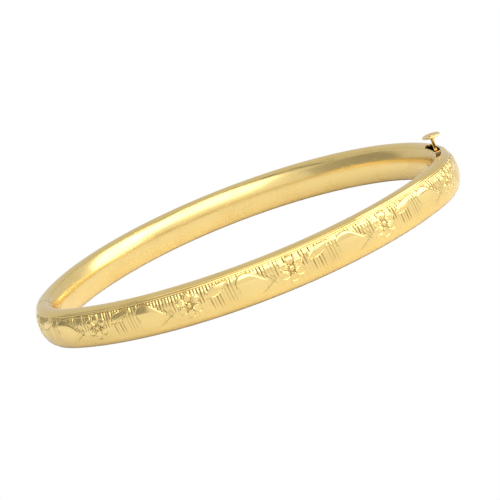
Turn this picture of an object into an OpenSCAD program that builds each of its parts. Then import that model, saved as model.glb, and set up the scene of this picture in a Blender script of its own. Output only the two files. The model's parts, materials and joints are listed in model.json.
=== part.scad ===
// Oval hinged bangle bracelet, lying flat: a hollow domed band in two halves,
// joined by a three-knuckle hinge at one end and a spring tongue clasp at the other.
// X is the long way of the oval (hinge at -X, clasp at +X), -Y is the decorated front,
// Z is the axis of the ring, and the lower edge rests on z = 0.

/* [Band] */
// Outside length of the closed bangle, from hinge end to clasp end
bangle_length = 63; // [58:0.5:76]
// Outside depth of the closed bangle, from front to rear
bangle_depth = 51; // [42:0.1:56]
// Outside radius of the tighter curve at the hinge end and the clasp end
end_radius = 16.3; // [14:0.1:17.5]
// How far in front of the middle the two halves meet
split_forward = 2.55; // [0:0.05:3]
// Height of the band, from resting edge to top edge
band_height = 5.7; // [4.7:0.1:8]
// Thickness of the band, from inner face to outer face
band_thickness = 3.35; // [2.75:0.05:5]
// Thickness of the sheet that the shells and liners are pressed from
sheet = 0.35; // [0.25:0.01:0.45]
// Radius of the dome across the outer face
dome_radius = 5; // [4.2:0.1:12]
// Radius of the crown across the inner face
crown_radius = 5.5; // [4.5:0.1:20]
// Half the width of the flat land along the top and bottom edges
land_half = 0.3; // [0.2:0.05:0.6]
// Gap between the ends of the two halves when the bangle is closed
seam_gap = 0.1; // [0.06:0.01:0.2]
// Thickness of the plates that close the ends of the halves
plate = 0.5; // [0.35:0.05:0.7]

/* [Hinge] */
// Outside radius of the hinge barrel
barrel_radius = 0.6; // [0.5:0.01:0.75]
// Radius of the hinge pin
pin_radius = 0.28; // [0.2:0.01:0.34]
// Radial clearance between the pin and the knuckle that turns on it
pin_clearance = 0.03; // [0.02:0.01:0.08]
// Gap between neighbouring knuckles, and around the barrel
knuckle_gap = 0.06; // [0.04:0.01:0.1]
// Height of the middle knuckle
middle_knuckle = 1.5; // [1.1:0.1:2]
// Height of the peened heads of the hinge pin
pin_head = 0.22; // [0.1:0.01:0.3]
// Space between each end of the barrel and the edge wall
barrel_margin = 0.65; // [0.5:0.05:0.9]
// Cover left between the barrel and the outside of the dome
barrel_cover = 0.05; // [0.03:0.01:0.2]
// Angle that each half is cut back on the outer side of the hinge
notch_angle = 21; // [18:1:30]

/* [Clasp] */
// Length of the tongue from the seam to its fold
tongue_length = 4.6; // [3.6:0.1:5.2]
// Clearance between the tongue's fold and the outer wall it curves towards
fold_clearance = 0.12; // [0.05:0.01:0.2]
// Room between the tongue and the liner
liner_clearance = 0.44; // [0.4:0.01:0.5]
// Thickness of the tongue's leaves
leaf = 0.3; // [0.2:0.01:0.35]
// Outside radius of the tongue's fold
fold_radius = 0.4; // [0.3:0.01:0.5]
// Depth of the underside of the tongue below mid-height
tongue_drop = 1.2; // [1:0.05:1.4]
// Slope of the spring leaf above the lower leaf
spring_angle = 22; // [19:1:25]
// Angle that the spring leaf is pressed down to unlatch
press_angle = 6.5; // [5:0.5:8]
// Clearance in the mouth of the catch on the tongue's outer side, where it swings out
mouth_clearance = 0.3; // [0.2:0.05:0.35]
// Clearance in the mouth of the catch on the tongue's other sides
mouth_side = 0.15; // [0.1:0.01:0.2]
// Clearance of the pressed spring leaf under the lip of the catch
lip_clearance = 0.1; // [0.05:0.01:0.2]
// Width of the spring leaf's neck
neck_width = 0.5; // [0.4:0.05:0.6]
// Width of the slot for the thumb piece
slot_width = 0.94; // [0.8:0.02:1.1]
// Length of that slot in the rear half
rear_slot = 4.2; // [1.6:0.1:5.5]
// Length of the window over the tongue in the front half
front_slot = 4.9; // [1.6:0.1:5.5]

/* [Thumb piece] */
// Height of the underside of the thumb disc above the top edge
thumb_rise = 1.75; // [1.2:0.05:3.5]
// Thickness of the thumb stem
stem_thickness = 0.4; // [0.3:0.05:0.5]
// Gap between the thumb stem and the seam
stem_gap = 0.1; // [0.06:0.01:0.2]
// Width of the thumb stem at its foot
stem_foot = 0.5; // [0.45:0.01:0.56]
// Width of the thumb stem under the disc
stem_top = 0.42; // [0.36:0.01:0.5]
// Radius of the thumb disc
disc_radius = 1.3; // [1:0.05:1.8]
// Thickness of the thumb disc
disc_thickness = 0.32; // [0.25:0.01:0.5]
// Depth of the dish in the thumb disc
dish_depth = 0.12; // [0.05:0.01:0.16]
// Radius of the rivet's shank
rivet_radius = 0.13; // [0.1:0.01:0.16]
// Radius of the rivet's head
rivet_head_radius = 0.34; // [0.25:0.01:0.45]

/* [Hidden] */
$fn = 96;

// Cuts start and end this far outside what they cut.
past = 1;

// The oval: two end curves and one side curve on each half. The turn of an end curve is
// taken to a thousandth of a degree, and the side curve that it leads into follows from it.
half_length = bangle_length / 2;
end_centre = half_length - end_radius;
rear_depth = bangle_depth / 2 + split_forward - seam_gap / 2;
front_depth = bangle_depth / 2 - split_forward - seam_gap / 2;
function side_radius(depth) =
    (end_centre ^ 2 + depth ^ 2 - end_radius ^ 2) / (2 * (depth - end_radius));
function thousandths(x) = round(x * 1000) / 1000;
function end_turn(depth) = thousandths(atan2(side_radius(depth) - depth, end_centre));

// The section of the band.
function sag(radius, half_chord) = radius - sqrt(radius ^ 2 - half_chord ^ 2);
mid = band_height / 2;
land_outer = -sag(dome_radius, mid);
land_inner = sag(crown_radius, mid) - band_thickness;
land_centre = (land_outer + land_inner) / 2;
edge_radius = norm([mid, land_half]);
crown_centre = crown_radius - band_thickness;

// The hinge.
barrel_height = band_height - 2 * (sheet + barrel_margin);
hinge_depth = barrel_radius + sag(dome_radius, barrel_height / 2) + barrel_cover;
hinge_x = hinge_depth - half_length;
outer_knuckle = (barrel_height - middle_knuckle) / 2 - knuckle_gap;
head_radius = pin_radius + 0.15;

// The clasp. The tongue is as wide as the curved hollow lets a straight strip be.
tongue_base = mid - tongue_drop;
fold_y = -seam_gap / 2 - tongue_length;
fold_z = tongue_base + fold_radius;
curve_at_fold = sag(end_radius - sheet, tongue_length + fold_radius);
dome_at_tongue = sag(dome_radius - sheet, tongue_drop);
tongue_outer = half_length - sheet - curve_at_fold - dome_at_tongue - fold_clearance;
tongue_inner = half_length - band_thickness + sheet + liner_clearance;
tongue_width = tongue_outer - tongue_inner;
clasp_x = (tongue_outer + tongue_inner) / 2;
catch_face = -seam_gap / 2 - plate;
shoulder_gap = 0.12;
stem_y = seam_gap / 2 + stem_gap + stem_thickness / 2;
shoulder_reach = (catch_face - shoulder_gap - fold_y) / cos(spring_angle);
neck_reach = (stem_y + stem_thickness / 2 - fold_y) / cos(spring_angle);
neck_roof = fold_z + tongue_length * tan(spring_angle) + leaf / cos(spring_angle);
slot_radius = clasp_x - end_centre;
pressed_slope = spring_angle - press_angle;
pressed_top = fold_z + shoulder_reach * sin(pressed_slope) + leaf / 2 * cos(pressed_slope);
lip = pressed_top + lip_clearance;
notch_floor = fold_z + (neck_reach - leaf) * sin(pressed_slope) - leaf;

// The thumb piece.
foot_thickness = 0.22;
disc_base = band_height + thumb_rise;
dish_rim = disc_radius - 0.14;
dish_radius = (dish_rim ^ 2 + dish_depth ^ 2) / (2 * dish_depth);
rivet_seat = 0.3;
rivet_head = 0.1;

// ---- Sections, with the crest of the outer face at x = 0 ----

module band_section() {
    intersection() {
        translate([-dome_radius, mid]) circle(r = dome_radius);
        translate([crown_centre, mid]) circle(r = crown_radius);
        translate([land_centre, mid]) circle(r = edge_radius);
        translate([-band_thickness, 0]) square([band_thickness, band_height]);
    }
}

// The inside of the shell, open towards the wrist.
module pocket_section() {
    intersection() {
        translate([-dome_radius, mid]) circle(r = dome_radius - sheet);
        translate([-band_thickness - past, sheet])
            square([band_thickness + past, band_height - 2 * sheet]);
    }
}

module shell_section() {
    difference() {
        band_section();
        pocket_section();
    }
}

module liner_section() {
    difference() {
        intersection() {
            translate([crown_centre, mid]) circle(r = crown_radius);
            translate([-band_thickness, sheet])
                square([band_thickness / 2, band_height - 2 * sheet]);
        }
        translate([crown_centre, mid]) circle(r = crown_radius - sheet);
    }
}

// The hollow between shell and liner, which the end plates fill.
module hollow_section() {
    intersection() {
        pocket_section();
        translate([crown_centre, mid]) circle(r = crown_radius - sheet);
    }
}

// ---- Sweeps, with the seam of the closed bangle on y = 0 ----

module on_split() {
    translate([0, -split_forward, 0]) children();
}

module rear_side() {
    translate([0, seam_gap / 2, 0]) children();
}

module front_side() {
    mirror([0, 1, 0]) rear_side() children();
}

// A move made in a coarse step and a fine one, so that curves meet exactly.
module exact_move(v) {
    coarse = [for (x = v) thousandths(x)];
    translate(coarse) translate(v - coarse) children();
}

module end_curve(turn) {
    exact_move([end_centre, 0, 0])
        rotate_extrude(angle = turn)
            exact_move([end_radius, 0]) children();
}

module half_ring(depth) {
    turn = end_turn(depth);
    end_curve(turn) children();
    mirror([1, 0, 0]) end_curve(turn) children();
    exact_move([0, -end_centre * tan(turn), 0])
        rotate_extrude(angle = 180 - 2 * turn, start = turn)
            exact_move([end_radius + end_centre / cos(turn), 0]) children();
}

// A plate that fills the hollow at the clasp end of the rear half.
module end_plate() {
    end_curve(plate / end_radius * 180 / PI) hollow_section();
}

// ---- Cutters ----

module barrel_space() {
    translate([hinge_x, 0, mid])
        cylinder(
            r = barrel_radius + knuckle_gap,
            h = barrel_height + 2 * (pin_head + knuckle_gap),
            center = true
        );
}

// The wedge that lets the outer edges turn past each other.
module hinge_notch() {
    reach = hinge_depth + past;
    spread = reach * tan(notch_angle);
    translate([hinge_x + seam_gap, 0, -past])
        linear_extrude(height = band_height + 2 * past)
            polygon([[0, 0], [-reach, spread], [-reach, -spread]]);
}

// A slot along the top edge from the seam, following the end curve to a drilled end that
// is a little wider than the slot.
module thumb_slot(length) {
    drill = slot_width / 2 + 0.02;
    depth = 2 * sheet;
    turn = (length - drill) / slot_radius * 180 / PI;
    translate([end_centre, 0, band_height - depth]) {
        rotate_extrude(angle = turn)
            translate([slot_radius - slot_width / 2, 0]) square([slot_width, depth + past]);
        rotate([0, 0, turn])
            translate([slot_radius, 0, 0]) cylinder(r = drill, h = depth + past);
        translate([slot_radius - slot_width / 2, -past, 0])
            cube([slot_width, past, depth + past]);
    }
}

// A space of the slot's width through an end plate, between two heights.
module stem_notch(base, top) {
    translate([clasp_x - slot_width / 2, -past, base])
        cube([slot_width, plate + 2 * past, top - base]);
}

module on_spring_leaf() {
    translate([clasp_x, fold_y, fold_z]) rotate([spring_angle, 0, 0]) children();
}

module knuckle(base, height, bore) {
    translate([hinge_x, 0, base])
        difference() {
            cylinder(r = barrel_radius, h = height);
            translate([0, 0, -past]) cylinder(r = bore, h = height + 2 * past);
        }
}

// ---- Rear half ----

module rear_shell() {
    color("gold") on_split() difference() {
        rear_side() half_ring(rear_depth) shell_section();
        barrel_space();
        hinge_notch();
        thumb_slot(rear_slot);
    }
}

module rear_liner() {
    color("goldenrod") on_split() rear_side() half_ring(rear_depth) liner_section();
}

module rear_hinge_plate() {
    color("darkgoldenrod") on_split() difference() {
        rear_side() mirror([1, 0, 0]) end_plate();
        translate([hinge_x, 0, middle_base()]) cylinder(r = barrel_radius, h = middle_knuckle);
        outer_knuckle_space();
        outside_of_axis();
    }
}

module rear_hinge_knuckle() {
    color("khaki") on_split() knuckle(middle_base(), middle_knuckle, pin_radius + pin_clearance);
}

module rear_clasp_plate() {
    color("darkgoldenrod") on_split() difference() {
        rear_side() end_plate();
        stem_notch(notch_floor, band_height);
        lower_leaf_strip();
    }
}

module tongue_lower_leaf() {
    color("palegoldenrod") on_split() {
        lower_leaf_strip();
        translate([clasp_x - tongue_width / 2, fold_y, fold_z])
            rotate([0, 90, 0]) cylinder(r = fold_radius, h = tongue_width);
    }
}

function middle_base() = mid - middle_knuckle / 2;

module lower_leaf_strip() {
    translate([clasp_x - tongue_width / 2, fold_y, tongue_base])
        cube([tongue_width, seam_gap / 2 + plate - fold_y, leaf]);
}

// Room for the two front knuckles and the pin heads, above and below the middle knuckle.
module outer_knuckle_space() {
    height = band_height / 2;
    for (base = [mid + middle_knuckle / 2, mid - middle_knuckle / 2 - height])
        translate([hinge_x, 0, base])
            cylinder(r = barrel_radius + knuckle_gap, h = height);
}

module outside_of_axis() {
    translate([hinge_x - band_thickness, -plate - past, -past])
        cube([band_thickness, 2 * (plate + past), band_height + 2 * past]);
}

// ---- Front half ----

module front_shell() {
    color("gold") on_split() difference() {
        front_side() half_ring(front_depth) shell_section();
        barrel_space();
        hinge_notch();
        mirror([0, 1, 0]) thumb_slot(front_slot);
    }
}

module front_liner() {
    color("goldenrod") on_split() front_side() half_ring(front_depth) liner_section();
}

module front_hinge_plate() {
    color("darkgoldenrod") on_split() difference() {
        front_side() mirror([1, 0, 0]) end_plate();
        translate([hinge_x, 0, middle_base() - knuckle_gap])
            cylinder(r = barrel_radius + knuckle_gap, h = middle_knuckle + 2 * knuckle_gap);
        translate([hinge_x, 0, mid - barrel_height])
            cylinder(r = barrel_radius, h = 2 * barrel_height);
        outside_of_axis();
    }
}

module front_hinge_knuckle_upper() {
    color("khaki") on_split()
        knuckle(mid + barrel_height / 2 - outer_knuckle, outer_knuckle, pin_radius);
}

module front_hinge_knuckle_lower() {
    color("khaki") on_split() knuckle(mid - barrel_height / 2, outer_knuckle, pin_radius);
}

module hinge_pin() {
    color("peru") on_split() translate([hinge_x, 0, mid]) {
        cylinder(r = pin_radius, h = barrel_height, center = true);
        for (side = [0, 1])
            mirror([0, 0, side])
                translate([0, 0, barrel_height / 2])
                    cylinder(r1 = head_radius, r2 = pin_radius, h = pin_head);
    }
}

module front_clasp_plate() {
    color("darkgoldenrod") on_split() difference() {
        front_side() end_plate();
        mirror([0, 1, 0]) stem_notch(lip - leaf, neck_roof);
        translate([tongue_inner - mouth_side, -plate - past, tongue_base - mouth_side])
            cube([
                tongue_width + mouth_side + mouth_clearance,
                plate + 2 * past,
                lip - tongue_base + mouth_side
            ]);
    }
}

// ---- Spring leaf and thumb piece ----

module tongue_spring_leaf() {
    start = fold_radius + pin_clearance;
    color("palegoldenrod") on_split() on_spring_leaf() {
        translate([-tongue_width / 2, start, -leaf / 2])
            cube([tongue_width, shoulder_reach - start, leaf]);
        translate([-neck_width / 2, start, -leaf / 2])
            cube([neck_width, neck_reach - start, leaf]);
    }
}

module thumb_stem() {
    foot_width = stem_foot + 0.3;
    color("gold") on_split() difference() {
        union() {
            intersection() {
                translate([clasp_x, stem_y, 0]) rotate([90, 0, 0])
                    linear_extrude(height = stem_thickness, center = true)
                        polygon([
                            [-stem_foot / 2, mid], [stem_foot / 2, mid],
                            [stem_top / 2, disc_base], [-stem_top / 2, disc_base]
                        ]);
                on_spring_leaf()
                    translate([-band_thickness, 0, leaf / 2])
                        cube([2 * band_thickness, bangle_length, bangle_length]);
            }
            translate([clasp_x, stem_y, disc_base - foot_thickness / 2])
                cube([foot_width, foot_width, foot_thickness], center = true);
        }
        translate([clasp_x, stem_y, disc_base - rivet_seat])
            cylinder(r = rivet_radius, h = rivet_seat + past);
    }
}

module thumb_disc() {
    color("gold") on_split() translate([clasp_x, stem_y, disc_base]) difference() {
        cylinder(r = disc_radius, h = disc_thickness);
        translate([0, 0, disc_thickness + dish_radius - dish_depth]) sphere(r = dish_radius);
        translate([0, 0, -past]) cylinder(r = rivet_radius, h = disc_thickness + 2 * past);
    }
}

module thumb_rivet() {
    head_base = disc_thickness - dish_depth;
    color("goldenrod") on_split() translate([clasp_x, stem_y, disc_base]) {
        translate([0, 0, -rivet_seat])
            cylinder(r = rivet_radius, h = rivet_seat + disc_thickness);
        difference() {
            translate([0, 0, head_base]) cylinder(r = rivet_head_radius, h = rivet_head);
            dish_floor();
        }
    }
}

// What the rivet's head rests on: the disc's solid under its dish.
module dish_floor() {
    difference() {
        cylinder(r = disc_radius, h = disc_thickness);
        translate([0, 0, disc_thickness + dish_radius - dish_depth]) sphere(r = dish_radius);
    }
}

rear_shell();
rear_liner();
front_shell();
front_liner();
rear_hinge_plate();
front_hinge_plate();
rear_hinge_knuckle();
front_hinge_knuckle_upper();
front_hinge_knuckle_lower();
hinge_pin();
rear_clasp_plate();
front_clasp_plate();
tongue_lower_leaf();
tongue_spring_leaf();
thumb_stem();
thumb_disc();
thumb_rivet();
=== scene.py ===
"""Looks of an oval hinged bangle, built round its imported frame.

Z is the axis of the ring, the hinge is at -X, the clasp at +X, and the stamped half is on
the -Y side. Lengths are in metres, and MM turns millimetres into them.
"""
import json
import math

import bpy
import numpy as np
from mathutils import Matrix, Vector


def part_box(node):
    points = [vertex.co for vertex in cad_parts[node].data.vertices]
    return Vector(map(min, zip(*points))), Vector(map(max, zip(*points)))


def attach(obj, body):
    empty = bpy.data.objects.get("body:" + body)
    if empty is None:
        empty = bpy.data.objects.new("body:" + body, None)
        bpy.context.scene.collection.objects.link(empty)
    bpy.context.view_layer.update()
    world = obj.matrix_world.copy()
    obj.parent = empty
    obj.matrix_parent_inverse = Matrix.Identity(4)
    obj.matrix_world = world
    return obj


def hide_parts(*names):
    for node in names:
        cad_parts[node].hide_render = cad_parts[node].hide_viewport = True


MM = 0.001
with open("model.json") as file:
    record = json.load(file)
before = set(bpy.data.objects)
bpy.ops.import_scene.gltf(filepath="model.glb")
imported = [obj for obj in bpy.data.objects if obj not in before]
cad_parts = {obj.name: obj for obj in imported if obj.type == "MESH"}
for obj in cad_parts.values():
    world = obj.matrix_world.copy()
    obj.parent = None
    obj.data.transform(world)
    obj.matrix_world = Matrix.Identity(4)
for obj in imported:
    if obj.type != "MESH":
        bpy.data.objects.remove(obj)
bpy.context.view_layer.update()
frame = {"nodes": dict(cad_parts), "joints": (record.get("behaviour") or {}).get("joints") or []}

# ---- Places taken from the frame ----

JOINTS = {joint["name"]: Vector(joint["pos_m"]) for joint in frame["joints"]}
REAR_LOW, REAR_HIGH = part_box("rear_shell")
FRONT_LOW, FRONT_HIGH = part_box("front_shell")
HINGE = JOINTS["front_half_opens"]
FOLD = JOINTS["thumb_piece_presses"]
SPLIT = HINGE.y
SEAM_GAP = REAR_LOW.y - FRONT_HIGH.y
HALF_LENGTH = (REAR_HIGH.x - REAR_LOW.x) / 2
BAND_HEIGHT = REAR_HIGH.z
MID = BAND_HEIGHT / 2
REAR, FRONT = 1, -1
DEPTH = {REAR: REAR_HIGH.y - REAR_LOW.y, FRONT: FRONT_HIGH.y - FRONT_LOW.y}

# ---- Sizes of the band ----

END_RADIUS = 16.3 * MM
END_CENTRE = HALF_LENGTH - END_RADIUS
THICKNESS = 3.35 * MM
SHEET = 0.35 * MM
EDGE_PLACE = 1.72 * MM          # from the crest of the outer face to the top of the edge
OUTER_FULLNESS = 2.28           # 2 is an ellipse, and more is squarer
INNER_FULLNESS = 2.0
INNER_CROWN = THICKNESS - EDGE_PLACE
LINING_JOINT = 0.012 * MM


def seam_y(side):
    return SPLIT + side * SEAM_GAP / 2


def side_curve(side):
    """Radius and centre distance of the long curve, and the turn of the end curve."""
    depth = DEPTH[side]
    full = (END_CENTRE**2 + depth**2 - END_RADIUS**2) / (2 * (depth - END_RADIUS))
    turn = math.atan2(full - depth, END_CENTRE)
    return END_RADIUS + END_CENTRE / math.cos(turn), END_CENTRE * math.tan(turn), turn


# ---- Modelling helpers ----

MERGE_DISTANCE = 0.0005 * MM
SMOOTH_BELOW = math.radians(35)


def deselect_objects():
    if bpy.context.object and bpy.context.object.mode != "OBJECT":
        bpy.ops.object.mode_set(mode="OBJECT")
    bpy.ops.object.select_all(action="DESELECT")


def start(add, **sizes):
    """A new primitive, alone in the selection, in edit mode with all of it selected."""
    deselect_objects()
    add(**sizes)
    piece = bpy.context.object
    bpy.ops.object.mode_set(mode="EDIT")
    bpy.ops.mesh.select_all(action="SELECT")
    return piece


def work_on(piece, mode):
    deselect_objects()
    bpy.context.view_layer.objects.active = piece
    piece.select_set(True)
    bpy.ops.object.mode_set(mode=mode)


def select_everything(piece):
    work_on(piece, "EDIT")
    bpy.ops.mesh.select_all(action="SELECT")


def selected_where(piece, test):
    """Selects the edges of which both ends pass the test, in edit mode."""
    work_on(piece, "OBJECT")
    mesh = piece.data
    passed = np.array([test(Vector(co)) for co in vertex_places(piece)])
    mesh.vertices.foreach_set("select", passed)
    ends = np.empty(len(mesh.edges) * 2, int)
    mesh.edges.foreach_get("vertices", ends)
    mesh.edges.foreach_set("select", passed[ends].reshape(-1, 2).all(axis=1))
    mesh.polygons.foreach_set("select", np.zeros(len(mesh.polygons), bool))
    bpy.ops.object.mode_set(mode="EDIT")


def apply_modifier(piece, kind, **settings):
    work_on(piece, "OBJECT")
    modifier = piece.modifiers.new(kind.lower(), kind)
    for name, value in settings.items():
        setattr(modifier, name, value)
    bpy.ops.object.modifier_apply(modifier=modifier.name)


def close_up(piece):
    """Merges doubles and turns every face outwards."""
    select_everything(piece)
    bpy.ops.mesh.remove_doubles(threshold=MERGE_DISTANCE)
    bpy.ops.mesh.normals_make_consistent(inside=False)
    bpy.ops.object.mode_set(mode="OBJECT")


def cut(piece, *cutters):
    """Cuts each closed cutter out of the piece, and removes the cutter."""
    for cutter in cutters:
        apply_modifier(piece, "BOOLEAN", object=cutter, operation="DIFFERENCE", solver="EXACT")
        bpy.data.objects.remove(cutter)


def vertex_places(piece):
    co = np.empty(len(piece.data.vertices) * 3)
    piece.data.vertices.foreach_get("co", co)
    return co.reshape(-1, 3)


def outline_points(points):
    """A closed outline lying in the XZ plane of a piece, made from a circle primitive."""
    piece = start(bpy.ops.mesh.primitive_circle_add, vertices=len(points), radius=MM)
    bpy.ops.object.mode_set(mode="OBJECT")
    for vertex, point in zip(piece.data.vertices, points):
        vertex.co = point
    bpy.ops.object.mode_set(mode="EDIT")
    bpy.ops.mesh.select_all(action="SELECT")
    return piece


def cap(piece, test):
    """Fills the open rim whose points pass the test."""
    selected_where(piece, test)
    bpy.ops.mesh.edge_face_add()
    bpy.ops.object.mode_set(mode="OBJECT")


def lathe(outline, place, steps=64):
    """A closed (radius, height) outline turned about the vertical line through place."""
    piece = outline_points([(place[0] + r, place[1], z) for r, z in outline])
    bpy.ops.mesh.spin(steps=steps, angle=2 * math.pi, center=(*place, 0), axis=(0, 0, 1))
    close_up(piece)
    select_everything(piece)
    bpy.ops.mesh.delete_loose(use_verts=True, use_edges=True, use_faces=False)
    bpy.ops.object.mode_set(mode="OBJECT")
    return piece


def cylinder_cutter(place, radius, low, high, sides=48):
    cutter = start(
        bpy.ops.mesh.primitive_cylinder_add, vertices=sides, radius=radius, depth=high - low
    )
    bpy.ops.transform.translate(value=(place[0], place[1], (low + high) / 2))
    bpy.ops.object.mode_set(mode="OBJECT")
    return cutter


def finish_piece(piece, node, body, material):
    """Puts the maker's finish on a piece that stands for a CAD node."""
    work_on(piece, "OBJECT")
    piece.name = node + "_finished"
    piece.data.name = piece.name
    piece.data.materials.clear()
    piece.data.materials.append(material)
    bpy.ops.object.shade_smooth_by_angle(angle=SMOOTH_BELOW)
    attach(piece, body)
    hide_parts(node)


# ---- The section of the band, as (out from the crest, height) ----


def rounded_half(reach, half_height, fullness, angles):
    power = 2 / fullness
    out = reach * np.abs(np.cos(angles)) ** power
    height = half_height * np.sign(np.sin(angles)) * np.abs(np.sin(angles)) ** power
    return np.stack([out, height], axis=1)


def outer_face(reach=EDGE_PLACE, half_height=MID, count=721):
    """The dome from the bottom edge to the top edge."""
    face = rounded_half(
        reach, half_height, OUTER_FULLNESS, np.linspace(-math.pi / 2, math.pi / 2, count)
    )
    return face - [EDGE_PLACE, 0]


def inner_face(reach=INNER_CROWN, limit=MID - SHEET, count=241):
    """The crown against the wrist, from one joint line up to the other."""
    edge = math.asin(limit / MID)
    face = rounded_half(reach, MID, INNER_FULLNESS, np.linspace(-edge, edge, count))
    return face * [-1, 1] - [EDGE_PLACE, 0]


def lip(top, count=61):
    """From the middle of an edge round to the joint line on the inner face."""
    angles = np.linspace(math.pi / 2, math.asin((MID - SHEET) / MID), count)
    face = rounded_half(INNER_CROWN, MID, INNER_FULLNESS, angles)
    return face * [-1, 1 if top else -1] - [EDGE_PLACE, 0]


def spaced(line, places):
    """Points on a polyline at the given shares of its length or at given distances."""
    steps = np.hypot(*np.diff(line, axis=0).T)
    along = np.concatenate([[0], np.cumsum(steps)])
    return np.stack([np.interp(places, along, line[:, k]) for k in (0, 1)], axis=1)


def length_of(line):
    return float(np.hypot(*np.diff(line, axis=0).T).sum())


def evenly(line, count):
    return spaced(line, np.linspace(0, length_of(line), count))


def shell_outline(dome_places):
    """The pressed sheet: over the dome and both lips, then back inside the pocket."""
    dome = spaced(outer_face(), dome_places)
    top, bottom = evenly(lip(True), 5)[1:], evenly(lip(False), 5)[:0:-1]
    pocket = evenly(outer_face(EDGE_PLACE - SHEET, MID - SHEET), 5)[::-1]
    line = np.concatenate([bottom, dome, top, pocket])
    return line + [0, MID]


def liner_outline():
    limit = MID - SHEET - LINING_JOINT
    face = evenly(inner_face(limit=limit), 27)
    back = evenly(inner_face(INNER_CROWN - SHEET, limit), 9)[::-1]
    return np.concatenate([face, back]) + [0, MID]


# ---- Sweeps along the oval ----


def half_path(side, spacing):
    """Points along the crest of a half from the clasp seam to the hinge seam, and the way out."""
    radius, drop, turn = side_curve(side)
    y = seam_y(side)
    curves = (
        ((END_CENTRE, y), END_RADIUS, 0, turn),
        ((0, y - side * drop), radius, turn, math.pi - turn),
        ((-END_CENTRE, y), END_RADIUS, math.pi - turn, math.pi),
    )
    crest, outward = [], []
    for centre, reach, begin, end in curves:
        steps = round(reach * (end - begin) / spacing)
        angles = np.linspace(begin, end, steps + 1)[bool(crest):]
        way = np.stack([np.cos(angles), side * np.sin(angles)], axis=1)
        crest.append(centre + way * reach)
        outward.append(way)
    return np.concatenate(crest), np.concatenate(outward)


def sweep_half(outline, side, spacing):
    """A closed outline carried round a half: a grid wrapped into a tube and capped."""
    y = seam_y(side)
    crest, outward = half_path(side, spacing)
    rows = len(outline)
    piece = start(
        bpy.ops.mesh.primitive_grid_add,
        x_subdivisions=len(crest) - 1,
        y_subdivisions=rows,
        size=1,
    )
    bpy.ops.object.mode_set(mode="OBJECT")
    co = vertex_places(piece)
    column = np.rint((co[:, 0] + 0.5) * (len(crest) - 1)).astype(int)
    row = np.rint((co[:, 1] + 0.5) * rows).astype(int) % rows
    co[:, :2] = crest[column] + outward[column] * outline[row, :1]
    co[:, 2] = outline[row, 1]
    piece.data.vertices.foreach_set("co", co.ravel())
    close_up(piece)
    for end in (1, -1):
        cap(piece, lambda co: abs(co.y - y) < SEAM_GAP / 20 and co.x * end > 0)
    close_up(piece)
    return piece


# ---- Cutters that the halves share ----

SLOT_WIDTH = 0.94 * MM
SLOT_LENGTH = {REAR: 4.2 * MM, FRONT: 4.9 * MM}
SLOT_DEPTH = 0.75 * MM
CLASP_X = FOLD.x
SLOT_RADIUS = CLASP_X - END_CENTRE
NOTCH_ANGLE = math.radians(21)
BARREL_CLEARANCE = 0.06 * MM
BARREL_RADIUS = (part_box("rear_hinge_knuckle")[1].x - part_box("rear_hinge_knuckle")[0].x) / 2
PIN_LOW, PIN_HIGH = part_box("hinge_pin")
PAST = 1 * MM                   # how far a cutter stands out of what it cuts
ROUND_END_EXTRA = 0.01 * MM     # keeps the slot's round end off the sides of its strip


def slot_cutter(side):
    """The thumb piece's slot: a strip bent along the end curve, with a round end."""
    half = SLOT_WIDTH / 2
    low, high = BAND_HEIGHT - SLOT_DEPTH, BAND_HEIGHT + PAST
    turn = (SLOT_LENGTH[side] - half) / SLOT_RADIUS
    cutter = outline_points(
        [
            (CLASP_X + x, SPLIT, z)
            for x, z in ((-half, low), (half, low), (half, high), (-half, high))
        ]
    )
    bpy.ops.mesh.spin(steps=24, angle=-side * turn, center=(END_CENTRE, SPLIT, 0), axis=(0, 0, 1))
    bpy.ops.object.mode_set(mode="OBJECT")
    for far in (False, True):
        cap(cutter, lambda co: (abs(co.y - SPLIT) > SLOT_LENGTH[side] / 2) == far)
    close_up(cutter)
    middle = (
        END_CENTRE + SLOT_RADIUS * math.cos(turn),
        SPLIT + side * SLOT_RADIUS * math.sin(turn),
    )
    return cutter, cylinder_cutter(middle, half + ROUND_END_EXTRA, low, high)


def notch_cutter():
    """The wedge that lets the outer edges of the hinge turn past each other."""
    spread = THICKNESS * math.tan(NOTCH_ANGLE)
    apex, mouth = HINGE.x + SEAM_GAP, HINGE.x + SEAM_GAP - THICKNESS
    cutter = start(bpy.ops.mesh.primitive_circle_add, vertices=3, radius=MM, fill_type="NGON")
    bpy.ops.object.mode_set(mode="OBJECT")
    corners = ((apex, SPLIT), (mouth, SPLIT + spread), (mouth, SPLIT - spread))
    for vertex, corner in zip(cutter.data.vertices, corners):
        vertex.co = (*corner, -PAST)
    bpy.ops.object.mode_set(mode="EDIT")
    bpy.ops.mesh.select_all(action="SELECT")
    bpy.ops.mesh.extrude_region_move(
        TRANSFORM_OT_translate={"value": (0, 0, BAND_HEIGHT + 2 * PAST)}
    )
    close_up(cutter)
    return cutter


def barrel_cutter():
    return cylinder_cutter(
        HINGE,
        BARREL_RADIUS + BARREL_CLEARANCE,
        PIN_LOW.z - BARREL_CLEARANCE,
        PIN_HIGH.z + BARREL_CLEARANCE,
    )


# ---- Stamped decoration, worked out in millimetres ----
# u runs along the band from a heart's tip, and t runs up from the crest.

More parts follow.
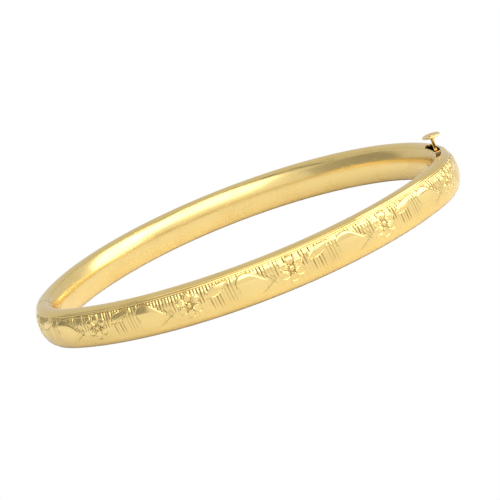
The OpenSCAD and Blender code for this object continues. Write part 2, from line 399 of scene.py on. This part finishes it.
PITCH = 14.4            # from one heart's tip to the next
FIRST_TIP = 14.5        # from the hinge seam to the first heart's tip
FIELD_TOP = 2.24        # the plain strip begins here, above the crest
EDGE_LINE = 2.62        # a fine line along the plain strip
FIELD_BOTTOM = -2.1
FIELD_DEPTH = 0.055
DEEPEST = 0.19
DARKEST_SHADE_DEPTH = 0.15     # stamping as deep as this, or deeper, gets the darkest painted shade
REPEAT_MIDDLE = 2.9     # from a heart's tip to the middle of its repeat
STROKE_SPACING, STROKE_DEPTH, STROKE_TILT = 0.46, 0.12, 0.1
HEART_LENGTH, HEART_HALF_WIDTH = 4.3, 2.05
UNIT_HEART = (1.104, 0.604)     # length and half width of the plain heart before it is sized
FLOWER_AT = (3.35, 0.28)
PETALS, PETAL_TURN = 6, math.radians(28)
PETAL_OUT, PETAL_HALF_LENGTH, PETAL_HALF_WIDTH = 1.08, 0.66, 0.52
FLOWER_STROKES = 18
BEAD_RADIUS = 0.22
LEAF_FROM, LEAF_TO, LEAF_HALF_WIDTH = (5.9, 0.6), (9.25, 1.92), 0.6
VEINS = (-0.26, 0, 0.26)
MOTIF_EDGE = 0.02       # a motif's own surface ends this far outside its outline
TIP_STROKES = (         # engraved by hand at the heart's tip and between its lobes
    ((1.35, 0.02), (-1.3, -1.5)),
    ((-0.35, 0.75), (0.75, -0.3)),
    ((0.45, 0.55), (1.0, -0.1)),
    ((0.15, -0.15), (0.9, -0.75)),
    ((-4.65, 0.85), (-4.05, 0.15)),
    ((-4.75, 0.4), (-4.1, -0.35)),
)
PLAIN_AT_HINGE, PLAIN_AT_CLASP = 2.2, 1.6
HINGE_FADE, CLASP_FADE = 1.2, 0.8


def ramp(value, low, high):
    """A smooth step from 0 at low to 1 at high."""
    share = np.clip((value - low) / (high - low), 0, 1)
    return share * share * (3 - 2 * share)


def heart_distance(u, t):
    """How far outside the heart's edge a place is; the tip is at u = 0."""
    length, width = HEART_LENGTH / UNIT_HEART[0], HEART_HALF_WIDTH / UNIT_HEART[1]
    x, y = np.abs(t) / width, -u / length
    lobe = np.hypot(x - 0.25, y - 0.75) - math.sqrt(2) / 4
    along = 0.5 * np.maximum(x + y, 0)
    flank = np.sqrt(
        np.minimum(x**2 + (y - 1) ** 2, (x - along) ** 2 + (y - along) ** 2)
    ) * np.sign(x - y)
    return np.where(x + y > 1, lobe, flank) * (length + width) / 2


def ellipse_distance(x, y, half_x, half_y):
    return (np.hypot(x / half_x, y / half_y) - 1) * min(half_x, half_y)


def leaf_distance(u, t):
    """Distance outside the leaf, and the place along and across it."""
    axis = np.subtract(LEAF_TO, LEAF_FROM)
    length = np.hypot(*axis)
    axis = axis / length
    du, dt = u - LEAF_FROM[0], t - LEAF_FROM[1]
    along = (du * axis[0] + dt * axis[1]) / length
    across = dt * axis[0] - du * axis[1]
    inside = np.clip(along, 0, 1)
    width = LEAF_HALF_WIDTH * np.sin(math.pi * inside**0.8) ** 0.8
    beyond = np.abs(along - inside) * length
    return np.hypot(np.maximum(np.abs(across) - width, 0), beyond) + np.minimum(
        np.abs(across) - width, 0
    ), along, across


def cushion(distance, depth, reach):
    """A raised shape's surface: highest inside, falling to its edge."""
    return -depth * np.exp(np.minimum(distance, 0) / reach)


def groove(distance, width, depth):
    return -depth * np.exp(-((distance / width) ** 2))


def scratch(u, t, start_at, end_at, width=0.085, depth=0.06):
    """An engraved stroke between two places, shallower at its ends."""
    a, b = np.array(start_at), np.array(end_at)
    way = b - a
    share = ((u - a[0]) * way[0] + (t - a[1]) * way[1]) / way.dot(way)
    held = np.clip(share, 0, 1)
    distance = np.hypot(u - a[0] - held * way[0], t - a[1] - held * way[1])
    return groove(distance, width, depth) * (0.45 + 0.55 * np.sin(math.pi * held))


def flower(u, t):
    """Rounded petals with radiating strokes round a beaded middle."""
    du, dt = u - FLOWER_AT[0], t - FLOWER_AT[1]
    radius, angle = np.hypot(du, dt), np.arctan2(dt, du)
    share = 2 * math.pi / PETALS
    turned = angle - PETAL_TURN
    nearest = turned - share * np.round(turned / share)
    along, across = radius * np.cos(nearest), radius * np.sin(nearest)
    petal = ellipse_distance(along - PETAL_OUT, across, PETAL_HALF_LENGTH, PETAL_HALF_WIDTH)
    surface = cushion(petal, 0.06, 0.16) + groove(petal, 0.075, 0.03)
    stroke = 2 * math.pi / FLOWER_STROKES
    to_stroke = angle - stroke * np.round(angle / stroke)
    reach = ramp(radius, 0.26, 0.4) * (1 - ramp(radius, 0.85, 1.2))
    surface += groove(radius * to_stroke, 0.07, 0.09) * reach
    bead = cushion(radius - BEAD_RADIUS, 0.05, 0.08)
    outside = np.minimum(petal, radius - 0.4)
    return outside, np.where(radius < BEAD_RADIUS + MOTIF_EDGE, bead, surface)


def leaf(u, t):
    """A blade with veins, deepest at its middle."""
    distance, along, across = leaf_distance(u, t)
    surface = cushion(distance, 0.06, 0.14) + groove(distance, 0.07, 0.03)
    inside = ramp(along, 0.05, 0.2) * (1 - ramp(along, 0.8, 0.95))
    for vein in VEINS:
        bent = across - vein * np.sin(math.pi * np.clip(along, 0, 1))
        surface += groove(bent, 0.05, 0.035) * inside
    return distance, surface


def strokes(u, t):
    """Side by side strokes across the band, each of its own strength."""
    phase = (u + STROKE_TILT * t) / STROKE_SPACING
    number = np.round(phase)
    uneven = np.sin(number * 12.9898 + np.sin(number * 4.1) * 3)
    strength = 0.62 + 0.38 * uneven
    shape = (0.5 + 0.5 * np.cos(2 * math.pi * (phase - number))) ** 2.6
    return -STROKE_DEPTH * strength * shape


def stamped(s, t):
    """Depth of the stamping at s along the half and t above the crest: 0 or below."""
    from_middle = (s - FIRST_TIP - REPEAT_MIDDLE + PITCH / 2) % PITCH - PITCH / 2
    u = from_middle + REPEAT_MIDDLE
    heart = heart_distance(u, t)
    petals, petal_surface = flower(u, t)
    blade, blade_surface = leaf(u, t)
    clear = ramp(np.minimum(np.minimum(heart, petals), blade), MOTIF_EDGE, 0.16)
    upper = ramp(t, -0.3, 0.35)
    under_leaf = ramp(u, 5.4, 6.4) * (1 - ramp(u, 10.2, 10.9)) * ramp(t, -1.9, -0.4) * 0.85
    below = 0.22 * ramp(t, -2.0, -1.3)
    hatched = np.maximum(np.maximum(upper, under_leaf), below)
    surface = -FIELD_DEPTH * clear + strokes(u, t) * hatched * clear
    surface += groove(t - FIELD_TOP + 0.3, 0.05, 0.03) * clear
    surface = np.where(heart < MOTIF_EDGE, cushion(heart, FIELD_DEPTH, 0.2), surface)
    surface += groove(heart, 0.07, 0.03) * (1 + 1.6 * ramp(t, -0.4, 0.7))
    surface = np.where(petals < MOTIF_EDGE, petal_surface, surface)
    surface = np.where(blade < MOTIF_EDGE, blade_surface, surface)
    for start_at, end_at in TIP_STROKES:
        surface += scratch(u, t, start_at, end_at)
    in_field = ramp(t, FIELD_BOTTOM, FIELD_BOTTOM + 0.5) * (
        1 - ramp(t, FIELD_TOP - 0.08, FIELD_TOP)
    )
    border = groove(t - FIELD_TOP, 0.07, 0.13) * ramp(s, 5, 16)
    border += groove(t - EDGE_LINE, 0.05, 0.1) * ramp(s, 8, 30) * (1 - ramp(s, 52, 78))
    return np.clip(np.minimum(surface * in_field, border), -DEEPEST, 0)


def stamp(piece, side):
    """Presses the decoration into the dome of a half, inwards only."""
    co = vertex_places(piece)
    radius, drop, turn = side_curve(side)
    x, y, z = co[:, 0], side * (co[:, 1] - seam_y(side)), co[:, 2] - MID
    end_angle = np.arctan2(y, np.abs(x) - END_CENTRE)
    on_end = end_angle < turn
    end_reach = np.hypot(y, np.abs(x) - END_CENTRE)
    side_angle = np.arctan2(y + drop, np.abs(x)) - turn
    side_reach = np.hypot(y + drop, x)
    quarter = END_RADIUS * turn + radius * (math.pi / 2 - turn)
    from_seam = np.where(on_end, END_RADIUS * end_angle, END_RADIUS * turn + radius * side_angle)
    along = np.where(x < 0, from_seam, 2 * quarter - from_seam)
    out = np.where(on_end, end_reach - END_RADIUS, side_reach - radius)

    face = outer_face()
    heights = face[:, 1]
    crest = np.concatenate([[0], np.cumsum(np.hypot(*np.diff(face, axis=0).T))])
    above = np.interp(z, heights, crest - crest[-1] / 2)
    near_face = np.abs(out - np.interp(z, heights, face[:, 0])) < SHEET / 4
    on_face = near_face & (np.abs(z) < MID * 0.95)
    plain_from = 2 * quarter / MM - PLAIN_AT_CLASP
    ends = ramp(along / MM, PLAIN_AT_HINGE, PLAIN_AT_HINGE + HINGE_FADE) * (
        1 - ramp(along / MM, plain_from - CLASP_FADE, plain_from)
    )
    depth = np.where(on_face, stamped(along / MM, above / MM) * ends, 0)

    share_out = np.clip((out + EDGE_PLACE) / EDGE_PLACE, 0.02, 1)
    share_up = np.clip(np.abs(z) / MID, 0, 1)
    tilt_out = share_out ** (OUTER_FULLNESS - 1) / EDGE_PLACE
    tilt_up = np.sign(z) * share_up ** (OUTER_FULLNESS - 1) / MID
    size = np.hypot(tilt_out, tilt_up)
    centre_x = np.where(on_end, np.sign(x) * END_CENTRE, 0)
    centre_y = np.where(on_end, 0, -drop)
    reach = np.where(on_end, end_reach, side_reach)
    normal = np.stack(
        [
            (x - centre_x) / reach * tilt_out / size,
            side * (y - centre_y) / reach * tilt_out / size,
            tilt_up / size,
        ],
        axis=1,
    )
    co += normal * (depth * MM)[:, None]
    piece.data.vertices.foreach_set("co", co.ravel())
    # The pressed share sets how much painted shade darkens each place: none where flat, full at
    # the darkest depth.
    pressed = piece.data.attributes.new("pressed", "FLOAT", "POINT")
    pressed.data.foreach_set("value", np.clip(-depth / DARKEST_SHADE_DEPTH, 0, 1).astype(np.float32))
    piece.data.update()


# ---- Golds ----

MIX_FIRST, MIX_SECOND, MIX_RESULT = 6, 7, 2     # a Mix node's colour sockets


def gold(name, colour, deep, roughness, mark_size, bump, coat=0.0, shade_recesses=False):
    """Polished metal with handling haze, fine wipe marks and a deeper tone here and there;
    painted shade darkens the stamped recesses when asked for.
    """
    material = bpy.data.materials.new(name)
    material.use_nodes = True
    tree = material.node_tree
    nodes, link = tree.nodes, tree.links.new
    shader = nodes["Principled BSDF"]
    shader.inputs["Metallic"].default_value = 1.0
    shader.inputs["Coat Weight"].default_value = coat
    shader.inputs["Coat Roughness"].default_value = 0.08
    place = nodes.new("ShaderNodeTexCoord").outputs["Object"]

    def noise(scale, detail, stretch=(1, 1, 1)):
        mapping = nodes.new("ShaderNodeMapping")
        mapping.inputs["Scale"].default_value = stretch
        link(place, mapping.inputs["Vector"])
        texture = nodes.new("ShaderNodeTexNoise")
        texture.inputs["Scale"].default_value = scale
        texture.inputs["Detail"].default_value = detail
        link(mapping.outputs["Vector"], texture.inputs["Vector"])
        return texture.outputs["Fac"]

    def spread(value, low, high, out_low, out_high):
        stretch = nodes.new("ShaderNodeMapRange")
        link(value, stretch.inputs["Value"])
        sockets = ("From Min", "From Max", "To Min", "To Max")
        for socket, number in zip(sockets, (low, high, out_low, out_high)):
            stretch.inputs[socket].default_value = number
        return stretch.outputs["Result"]

    haze = noise(220, 3)
    marks = noise(mark_size, 5, (1, 1, 9))
    wipes = noise(mark_size * 0.7, 4, (6, 6, 1))

    tone = nodes.new("ShaderNodeMix")
    tone.data_type = "RGBA"
    tone.inputs[MIX_FIRST].default_value = (*colour, 1)
    tone.inputs[MIX_SECOND].default_value = (*deep, 1)
    link(spread(haze, 0.4, 0.75, 0.0, 0.35), tone.inputs["Factor"])
    shade = tone.outputs[MIX_RESULT]
    # Painted shade: the more deeply pressed a place is, the nearer its colour goes to a dark
    # brown.
    if shade_recesses:
        pressed = nodes.new("ShaderNodeAttribute")
        pressed.attribute_name = "pressed"
        recess_shading = nodes.new("ShaderNodeMix")
        recess_shading.data_type = "RGBA"
        recess_shading.inputs[MIX_SECOND].default_value = (*RECESS_SHADE, 1)
        link(shade, recess_shading.inputs[MIX_FIRST])
        link(spread(pressed.outputs["Fac"], 0.42, 1.0, 0.0, 0.85), recess_shading.inputs["Factor"])
        shade = recess_shading.outputs[MIX_RESULT]
    link(shade, shader.inputs["Base Color"])

    mixed = nodes.new("ShaderNodeMath")
    mixed.operation = "MULTIPLY_ADD"
    link(spread(marks, 0.35, 0.7, -0.5, 0.5), mixed.inputs[0])
    mixed.inputs[1].default_value = roughness * 0.18
    link(spread(haze, 0.3, 0.7, roughness * 0.8, roughness * 1.25), mixed.inputs[2])
    link(mixed.outputs[0], shader.inputs["Roughness"])

    relief = nodes.new("ShaderNodeBump")
    relief.inputs["Strength"].default_value = bump
    relief.inputs["Distance"].default_value = 0.02 * MM
    link(wipes, relief.inputs["Height"])
    link(relief.outputs["Normal"], shader.inputs["Normal"])
    return material


LIGHT_GOLD = (0.91, 0.69, 0.27)
DEEP_GOLD = (0.78, 0.54, 0.17)
# The dark brown of the painted shade in the stamped recesses.
RECESS_SHADE = (0.26, 0.16, 0.05)

polished = gold("polished_gold", LIGHT_GOLD, DEEP_GOLD, 0.2, 900, 0.025, coat=0.5)
embossed = gold("stamped_gold", LIGHT_GOLD, DEEP_GOLD, 0.11, 1100, 0.05, coat=0.4, shade_recesses=True)
lining = gold("lining_gold", LIGHT_GOLD, DEEP_GOLD, 0.25, 400, 0.012, coat=0.5)
filed = gold("filed_gold", (0.86, 0.60, 0.23), (0.66, 0.42, 0.13), 0.3, 2600, 0.35)
spring = gold("rolled_spring_gold", (0.88, 0.64, 0.27), (0.7, 0.46, 0.16), 0.24, 1800, 0.2)
wire = gold("drawn_wire_gold", (0.84, 0.58, 0.22), (0.62, 0.39, 0.12), 0.22, 2200, 0.2)

# ---- Shells and linings ----

FINE, PLAIN = 0.072 * MM, 0.3 * MM      # spacing of the columns along the band
BORDER_FROM = 1.9       # rows lie closer above this, for the narrow lines of the border


def dome_places(side):
    """Where the rows of a shell's dome lie: close together under the stamping."""
    total = length_of(outer_face())
    if side == REAR:
        return np.linspace(0, total, 41)
    low = total / 2 + (FIELD_BOTTOM + 0.05) * MM
    middle = total / 2 + BORDER_FROM * MM
    high = total / 2 + (EDGE_LINE + 0.1) * MM
    field = np.linspace(low, middle, 43)
    border = np.linspace(middle, high, 19)[1:]
    return np.concatenate(
        [np.linspace(0, low, 5)[:-1], field, border, np.linspace(high, total, 5)[1:]]
    )


def shell(side):
    piece = sweep_half(shell_outline(dome_places(side)), side, PLAIN if side == REAR else FINE)
    cut(piece, *slot_cutter(side), notch_cutter(), barrel_cutter())
    return piece


finish_piece(shell(REAR), "rear_shell", "rear_half", polished)
front_shell = shell(FRONT)
stamp(front_shell, FRONT)
finish_piece(front_shell, "front_shell", "front_half", embossed)
for half, side in (("rear", REAR), ("front", FRONT)):
    liner = sweep_half(liner_outline(), side, PLAIN)
    finish_piece(liner, half + "_liner", half + "_half", lining)

# ---- Clasp and hinge ----

EDGE_SOFTNESS = 0.035 * MM
FACET_ANGLE, EDGE_ANGLE = math.radians(1), math.radians(40)
DISC_LOW, DISC_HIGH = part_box("thumb_disc")
RIVET_LOW, RIVET_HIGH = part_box("thumb_rivet")
RIVET_RADIUS = 0.13 * MM
DISH_DEPTH = 0.12 * MM
RIM_FLAT = 0.01 * MM
PIN_HEAD_STEP = 0.15 * MM       # how far a pin's head stands out round its shank


def softened(node, body, material, softness=EDGE_SOFTNESS):
    """A copy of a node's mesh with its facets merged and its edges eased."""
    model = frame["nodes"][node]
    place = model.matrix_world.copy()
    piece = bpy.data.objects.new(node, model.data.copy())
    bpy.context.scene.collection.objects.link(piece)
    piece.data.transform(place)
    close_up(piece)
    select_everything(piece)
    bpy.ops.mesh.dissolve_limited(angle_limit=FACET_ANGLE)
    bpy.ops.object.mode_set(mode="OBJECT")
    apply_modifier(
        piece, "BEVEL", width=softness, segments=3, limit_method="ANGLE",
        angle_limit=EDGE_ANGLE, use_clamp_overlap=True,
    )
    close_up(piece)
    finish_piece(piece, node, body, material)


def around_middle(node, outline):
    """An outline of (radius, height) pairs turned about the upright middle of a node."""
    low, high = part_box(node)
    return lathe(outline, ((low.x + high.x) / 2, (low.y + high.y) / 2))


def arc(centre, radius, begin, end, steps=6):
    angles = [math.radians(begin + (end - begin) * k / steps) for k in range(steps + 1)]
    return [(centre[0] + radius * math.cos(a), centre[1] + radius * math.sin(a)) for a in angles]


def thumb_disc():
    """A small dished button with a rolled rim."""
    radius = (DISC_HIGH.x - DISC_LOW.x) / 2
    low, high = DISC_LOW.z, DISC_HIGH.z
    rim = (high - low) / 2 - RIM_FLAT / 2
    dish = high - DISH_DEPTH
    outline = [(RIVET_RADIUS, low), (radius * 0.8, low)]
    outline += arc((radius - rim, low + rim), rim, -80, 100, 14)
    outline += [
        (radius * 0.80, high - DISH_DEPTH * 0.35),
        (radius * 0.68, high - DISH_DEPTH * 0.78),
        (radius * 0.5, dish),
        (RIVET_RADIUS, dish),
    ]
    return around_middle("thumb_disc", outline)


def thumb_rivet():
    """A shank with a hammered dome over the dish."""
    low, high = RIVET_LOW.z, RIVET_HIGH.z
    dish, reach = DISC_HIGH.z - DISH_DEPTH, (RIVET_HIGH.x - RIVET_LOW.x) / 2
    dome = (high - dish) * 0.98
    outline = [(0, low), (RIVET_RADIUS * 0.8, low), (RIVET_RADIUS, low + RIVET_RADIUS * 0.2)]
    outline += [(RIVET_RADIUS, dish), (reach, dish)]
    outline += [
        (reach * math.cos(rise), dish + dome * math.sin(rise))
        for rise in np.radians((12, 26, 40, 54, 68, 80))
    ]
    outline += [(0, dish + dome)]
    return around_middle("thumb_rivet", outline)


def hinge_pin():
    """Drawn wire with both ends peened into low domes."""
    low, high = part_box("hinge_pin")
    head = (high.x - low.x) / 2
    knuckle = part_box("front_hinge_knuckle_lower")[0].z - low.z
    shares = ((0, 0), (0.45, 0.08), (0.85, 0.4), (1, 0.8), (1, 1))
    lower = [(head * out, low.z + knuckle * up) for out, up in shares]
    lower += [(head - PIN_HEAD_STEP, low.z + knuckle)]
    upper = [(r, low.z + high.z - z) for r, z in reversed(lower)]
    return around_middle("hinge_pin", lower + upper)


finish_piece(thumb_disc(), "thumb_disc", "thumb_lever", polished)
finish_piece(thumb_rivet(), "thumb_rivet", "thumb_lever", filed)
finish_piece(hinge_pin(), "hinge_pin", "front_half", wire)
softened("thumb_stem", "thumb_lever", spring)
softened("tongue_spring_leaf", "thumb_lever", spring)
softened("tongue_lower_leaf", "rear_half", spring)
softened("rear_hinge_knuckle", "rear_half", filed)
for half in ("upper", "lower"):
    softened("front_hinge_knuckle_" + half, "front_half", filed)
for name in ("rear_hinge_plate", "rear_clasp_plate"):
    softened(name, "rear_half", filed, EDGE_SOFTNESS / 2)
for name in ("front_hinge_plate", "front_clasp_plate"):
    softened(name, "front_half", filed, EDGE_SOFTNESS / 2)

# ---- Studio ----


def white_to_camera(nodes, link, shade, output):
    """Looked at directly the ground is plain white; light and reflections meet its own shade."""
    white = nodes.new("ShaderNodeEmission")
    choose = nodes.new("ShaderNodeMixShader")
    link(nodes.new("ShaderNodeLightPath").outputs["Is Camera Ray"], choose.inputs["Fac"])
    link(shade, choose.inputs[1])
    link(white.outputs[0], choose.inputs[2])
    link(choose.outputs[0], output)


def floor():
    piece = start(bpy.ops.mesh.primitive_grid_add, x_subdivisions=4, y_subdivisions=4, size=6)
    bpy.ops.object.mode_set(mode="OBJECT")
    piece.name = "studio_floor"
    material = bpy.data.materials.new("pale_board")
    material.use_nodes = True
    nodes, link = material.node_tree.nodes, material.node_tree.links.new
    shader = nodes["Principled BSDF"]
    shader.inputs["Base Color"].default_value = (0.8, 0.8, 0.8, 1)
    shader.inputs["Roughness"].default_value = 0.9
    white_to_camera(nodes, link, shader.outputs[0], nodes["Material Output"].inputs["Surface"])
    piece.data.materials.append(material)


def area_light(name, place, aim, size, power):
    light = bpy.data.lights.new(name, "AREA")
    light.shape = "RECTANGLE"
    light.size, light.size_y = size
    light.energy = power
    lamp = bpy.data.objects.new(name, light)
    bpy.context.scene.collection.objects.link(lamp)
    lamp.location = place
    lamp.rotation_euler = (Vector(aim) - Vector(place)).to_track_quat("-Z", "Y").to_euler()


def card(name, place, size, tone, upright=False):
    """A dull card that only shows as a darker patch in the polish."""
    piece = start(bpy.ops.mesh.primitive_plane_add, size=1)
    bpy.ops.transform.resize(value=(*size, 1))
    if upright:
        bpy.ops.transform.rotate(
            value=math.radians(90), orient_axis="Y", center_override=(0, 0, 0)
        )
    bpy.ops.transform.translate(value=place)
    bpy.ops.object.mode_set(mode="OBJECT")
    piece.name = name
    material = bpy.data.materials.new(name)
    material.use_nodes = True
    shader = material.node_tree.nodes["Principled BSDF"]
    shader.inputs["Base Color"].default_value = (tone, tone, tone, 1)
    piece.data.materials.append(material)
    piece.visible_camera = False
    piece.visible_diffuse = False
    piece.visible_shadow = False


FRONT_TONE, BACK_TONE = 0.95, 0.68


def sky():
    """Even light, brighter in front than behind, and plain white behind the object."""
    world = bpy.data.worlds.new("tent")
    bpy.context.scene.world = world
    world.use_nodes = True
    nodes, link = world.node_tree.nodes, world.node_tree.links.new
    around = nodes["Background"]
    split = nodes.new("ShaderNodeSeparateXYZ")
    link(nodes.new("ShaderNodeTexCoord").outputs["Generated"], split.inputs[0])
    front_to_back = nodes.new("ShaderNodeMapRange")
    front_to_back.inputs["From Min"].default_value = -1
    link(split.outputs["Y"], front_to_back.inputs["Value"])
    tones = nodes.new("ShaderNodeValToRGB")
    stops = ((0.1, FRONT_TONE), (0.35, BACK_TONE))
    for element, (position, tone) in zip(tones.color_ramp.elements, stops):
        element.position = position
        element.color = (tone, tone, tone, 1)
    link(front_to_back.outputs["Result"], tones.inputs["Fac"])
    link(tones.outputs["Color"], around.inputs["Color"])
    white_to_camera(nodes, link, around.outputs[0], nodes["World Output"].inputs["Surface"])


def camera():
    """Looks across the stamped half from a low angle, rolled so the hinge sinks."""
    azimuth, elevation, roll = (math.radians(x) for x in (0.62, 13.92, 21.01))
    distance = 272.6 * MM
    back = Vector((
        -math.sin(azimuth) * math.cos(elevation),
        -math.cos(azimuth) * math.cos(elevation),
        math.sin(elevation),
    ))
    right = Vector((0, 0, 1)).cross(back).normalized()
    up = back.cross(right)
    rolled_right = right * math.cos(roll) - up * math.sin(roll)
    rolled_up = right * math.sin(roll) + up * math.cos(roll)
    lens = bpy.data.cameras.new("camera")
    lens.lens = 139.4
    lens.shift_x, lens.shift_y = 0.0058, -0.0142
    lens.clip_start, lens.clip_end = 0.01, 20
    view = bpy.data.objects.new("camera", lens)
    bpy.context.scene.collection.objects.link(view)
    target = Vector((0, SPLIT, MID))
    turned = Matrix((rolled_right, rolled_up, back)).transposed().to_4x4()
    view.matrix_world = Matrix.Translation(target + back * distance) @ turned
    bpy.context.scene.camera = view


floor()
area_light("front_softbox", (0.3, -0.72, 0.8), (0, 0, 0), (1.7, 1.0), 9.5)
area_light("side_softbox", (1.0, -0.2, 0.5), (0, 0, 0), (0.8, 0.9), 5.0)
card("overhead_strip", (0, -0.23, 0.9), (1.8, 0.13), 0.01)
card("left_flag", (-1.0, -0.15, 0.42), (0.84, 1.3), 0.3, upright=True)
sky()
camera()
bpy.context.scene.view_settings.view_transform = "Standard"
